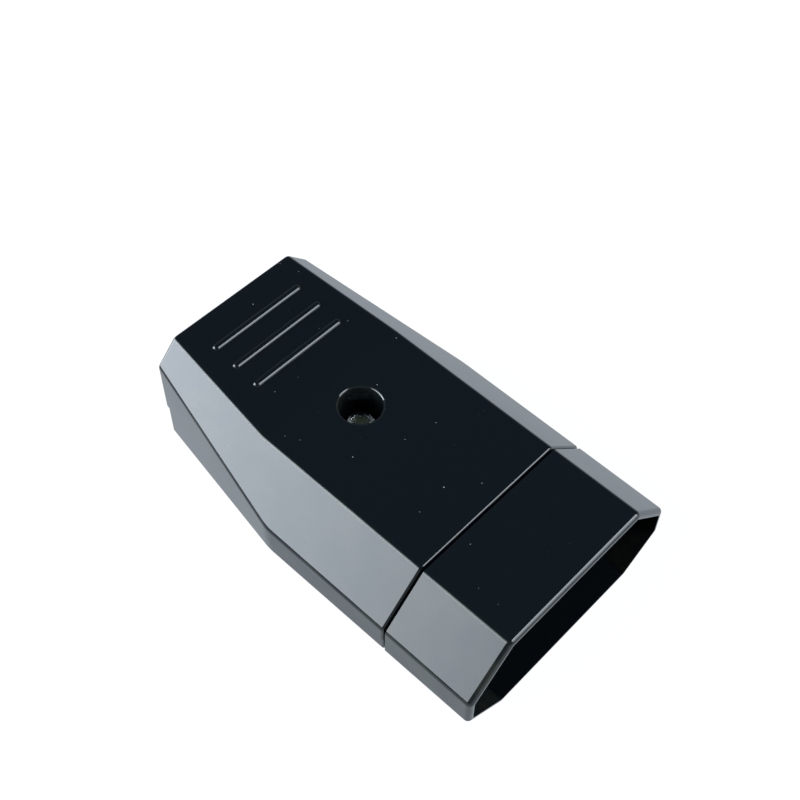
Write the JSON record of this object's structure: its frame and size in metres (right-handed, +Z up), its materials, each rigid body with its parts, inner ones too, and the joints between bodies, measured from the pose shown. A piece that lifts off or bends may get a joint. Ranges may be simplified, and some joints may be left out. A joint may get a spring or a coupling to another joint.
{
  "type": "inline socket connector",
  "caption": "Flat in-line coupling with an eight-sided plug mouth, screwed upper and lower shells, sprung contacts and a cord clamp inside.",
  "frame": {"origin": "on the resting face, under the middle of the coupling's bounding box", "axes": "+Y along the coupling from the plug mouth to the cord entry, +Z up from the resting face, +X across"},
  "size_m": [0.04, 0.0644, 0.0196],
  "materials": {
    "black_gloss_plastic": "polished black moulding",
    "clamp_plastic": "plain black moulding",
    "contact_brass": "turned",
    "spring_steel": "drawn",
    "plated_steel": "zinc plated"
  },
  "bodies": {
    "root": {"socket_nose": "black_gloss_plastic", "upper_cover": "black_gloss_plastic", "lower_shell": "black_gloss_plastic", "contact_left": "contact_brass", "contact_right": "contact_brass", "contact_spring_left": "spring_steel", "contact_spring_right": "spring_steel", "terminal_screws": "plated_steel", "cord_clamp": "clamp_plastic", "clamp_screws": "plated_steel", "cover_screw": "plated_steel", "cover_nut": "plated_steel"}
  },
  "joints": []
}
